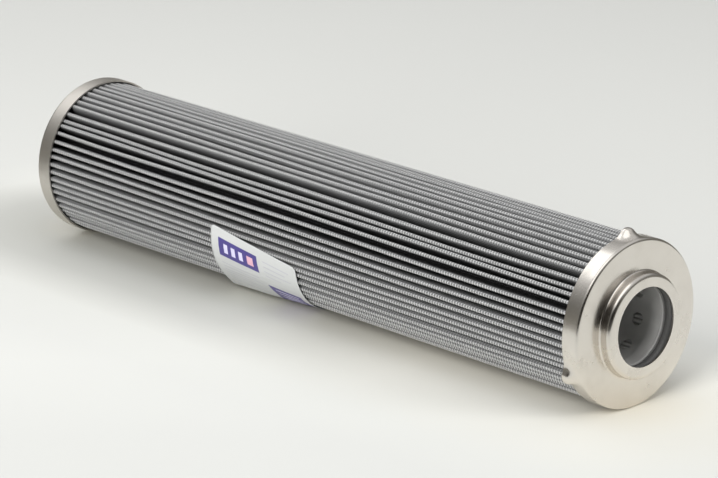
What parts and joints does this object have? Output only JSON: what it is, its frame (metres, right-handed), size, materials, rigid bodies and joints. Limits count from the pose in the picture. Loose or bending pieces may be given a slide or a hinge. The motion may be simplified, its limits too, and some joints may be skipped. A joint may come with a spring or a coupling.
{
  "type": "pleated filter element",
  "caption": "Cylindrical pleated hydraulic filter element with pressed steel end caps, perforated core and a sealed neck that plugs on a housing spigot.",
  "frame": {"origin": "centre of the closed end cap's outer face, on the element's axis", "axes": "+Z along the element's axis towards the open end and its neck; +Y is the side it lies on in the picture it was made from"},
  "size_m": [0.078, 0.0818, 0.3696],
  "materials": {
    "cap_steel": "satin nickel plate",
    "core_steel": "plain galvanised",
    "seal_rubber": "matt nitrile",
    "wire_mesh": "woven wire",
    "fleece": "non-woven",
    "glass_fibre": "matt fibre",
    "potting": "cast resin",
    "clip_steel": "bright strip",
    "label_paper": "coated paper"
  },
  "bodies": {
    "root": {"open_end_cap": "cap_steel", "closed_end_cap": "cap_steel", "core_tube": "core_steel", "seal_seat_ring": "core_steel", "o_ring": "seal_rubber", "outer_mesh": "wire_mesh", "outer_fleece": "fleece", "filter_media": "glass_fibre", "inner_fleece": "fleece", "inner_mesh": "wire_mesh", "open_end_potting": "potting", "closed_end_potting": "potting", "side_seam_clip": "clip_steel", "paper_label": "label_paper"}
  },
  "joints": []
}
